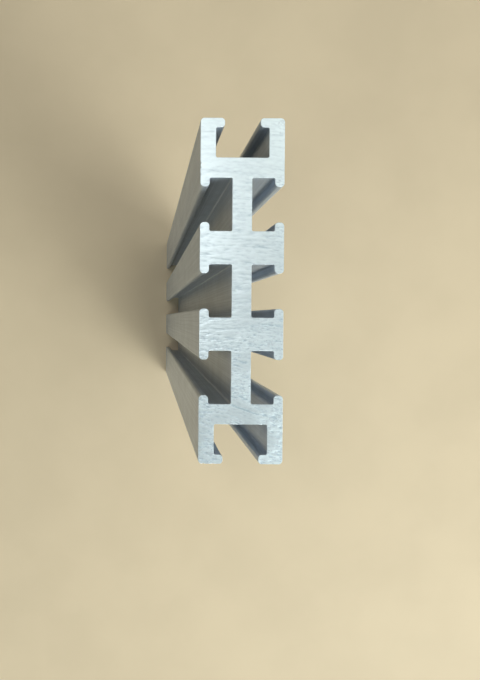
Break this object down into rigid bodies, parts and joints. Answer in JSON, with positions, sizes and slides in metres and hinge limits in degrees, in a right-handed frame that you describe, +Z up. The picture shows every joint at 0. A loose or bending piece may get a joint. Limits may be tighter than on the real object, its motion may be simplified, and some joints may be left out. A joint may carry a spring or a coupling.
{
  "type": "aluminium extrusion profile",
  "caption": "Straight solid aluminium T-slot bar, slotted along both sides and both edges, with sawn square ends.",
  "frame": {"origin": "middle of the lower sawn end, on the section's centre", "axes": "+Z up along the bar, +X across the section's short side, +Y along its long side"},
  "size_m": [0.0196, 0.08, 0.2],
  "materials": {
    "mill_aluminium": "satin mill finish with fine die lines along the bar; sawn ends brighter"
  },
  "bodies": {
    "root": {"extruded_profile": "mill_aluminium"}
  },
  "joints": []
}
